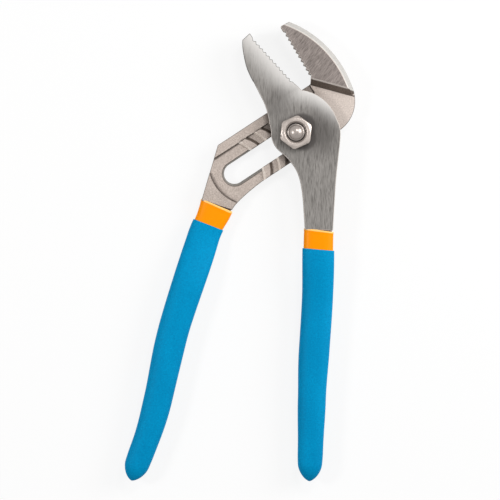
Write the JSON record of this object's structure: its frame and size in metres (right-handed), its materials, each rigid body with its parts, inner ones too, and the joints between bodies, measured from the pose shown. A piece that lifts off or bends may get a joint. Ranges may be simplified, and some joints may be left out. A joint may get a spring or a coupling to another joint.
{
  "type": "water_pump_pliers",
  "caption": "Water pump pliers with angled toothed jaws, a grooved slot for the sliding pivot, a hex nut on the joint, and handles dipped in orange and then blue plastic.",
  "frame": {"origin": "centre of the back face of the pivot bolt's head, on the pivot's axis, with the pivot at the closest jaw setting", "axes": "+Y along the tool towards the jaws, +Z along the pivot from the bolt's head to the nut, +X to the right as seen from the nut's side"},
  "size_m": [0.1306, 0.2602, 0.0247],
  "materials": {
    "brushed_steel": "forged steel, belt-ground along the shank",
    "blasted_steel": "forged steel, bead-blasted to an even matt grain",
    "plated_steel": "nickel-plated steel",
    "orange_dip": "glossy dipped plastisol",
    "blue_dip": "satin dipped plastisol with a fine grain"
  },
  "bodies": {
    "rear_lever": {"rear_lever": "blasted_steel", "rear_undercoat": "orange_dip", "rear_grip": "blue_dip"},
    "pivot": {"pivot_bolt": "plated_steel", "nut_washer": "plated_steel", "pivot_nut": "plated_steel"},
    "front_lever": {"front_lever": "brushed_steel", "front_undercoat": "orange_dip", "front_grip": "blue_dip"}
  },
  "joints": [
    {"name": "jaw_adjust", "type": "slide", "parent": "rear_lever", "child": "pivot", "axis": [-0.8358, -0.549, 0], "range_m": [0, 0.0406]},
    {"name": "handle_hinge", "type": "hinge", "parent": "pivot", "child": "front_lever", "pos_m": [0, 0, 0.0134], "axis": [0, 0, 1], "range_deg": [-15.8, 35]}
  ]
}
